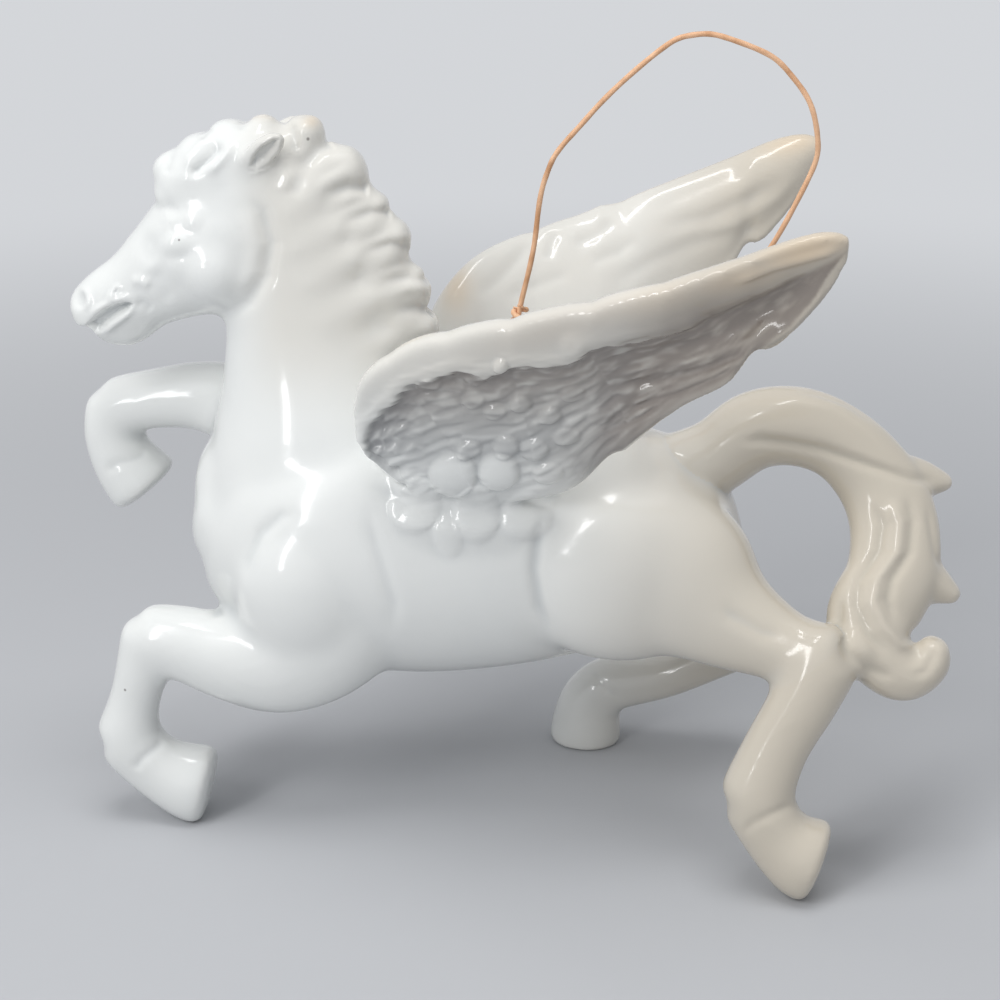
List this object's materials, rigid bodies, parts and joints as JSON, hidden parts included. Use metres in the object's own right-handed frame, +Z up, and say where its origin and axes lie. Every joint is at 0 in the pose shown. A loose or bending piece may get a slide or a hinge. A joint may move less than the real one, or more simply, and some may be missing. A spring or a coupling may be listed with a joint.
{
  "type": "winged horse ornament",
  "caption": "Glazed porcelain winged horse, prancing with wings raised, an ornament that stands on its hooves or hangs from a swinging wire bail.",
  "frame": {"origin": "centre of the bounding box's base, on the surface that the three standing hooves rest on", "axes": "+Z up; the horse faces -X; its left side is towards -Y"},
  "size_m": [0.1894, 0.1042, 0.1703],
  "materials": {
    "glaze": "clear gloss glaze over cool white porcelain",
    "warm_glaze": "clear gloss glaze, warmer cream tone",
    "coated_wire": "satin peach copper coating"
  },
  "bodies": {
    "figure": {"torso": "glaze", "neck": "glaze", "head": "glaze", "mane": "glaze", "forelock": "glaze", "left_ear": "glaze", "right_ear": "glaze", "left_wing": "glaze", "right_wing": "glaze", "left_foreleg": "glaze", "right_foreleg": "glaze", "left_hind_leg": "warm_glaze", "right_hind_leg": "glaze", "tail": "warm_glaze"},
    "hanger": {"wire_hanger": "coated_wire"}
  },
  "joints": [
    {"name": "hanger_swing", "type": "hinge", "parent": "figure", "child": "hanger", "pos_m": [0, 0, 0.0952], "axis": [0.9912, 0, -0.132], "range_deg": [-40, 40]}
  ]
}
